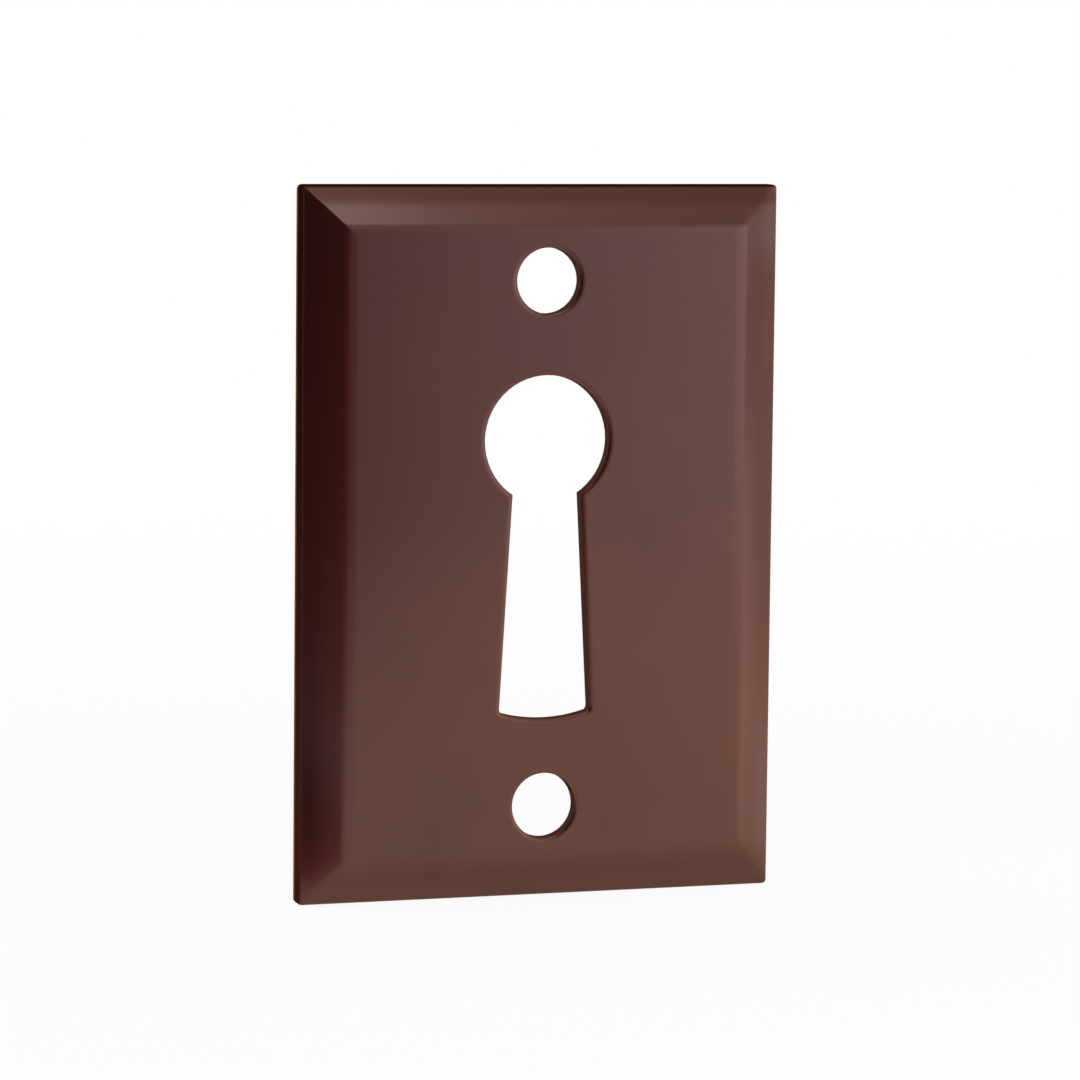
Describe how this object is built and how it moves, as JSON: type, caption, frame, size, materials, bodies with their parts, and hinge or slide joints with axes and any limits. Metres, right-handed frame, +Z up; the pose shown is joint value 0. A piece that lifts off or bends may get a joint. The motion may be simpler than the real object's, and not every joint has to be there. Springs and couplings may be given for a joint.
{
  "type": "keyhole escutcheon",
  "caption": "Rectangular keyhole escutcheon pressed from dark bronze sheet, with a bevelled border, a flared keyhole and a screw hole above and below it.",
  "frame": {"origin": "middle of the plane that the plate's rim rests on, against the wood", "axes": "+Z up along the plate's height with the keyhole's slot pointing down, +X to the right seen from the front, and the front faces -Y"},
  "size_m": [0.0308, 0.0026, 0.0444],
  "materials": {
    "bronze_finish": "dark oil-rubbed bronze, satin"
  },
  "bodies": {
    "root": {"escutcheon_plate": "bronze_finish"}
  },
  "joints": []
}
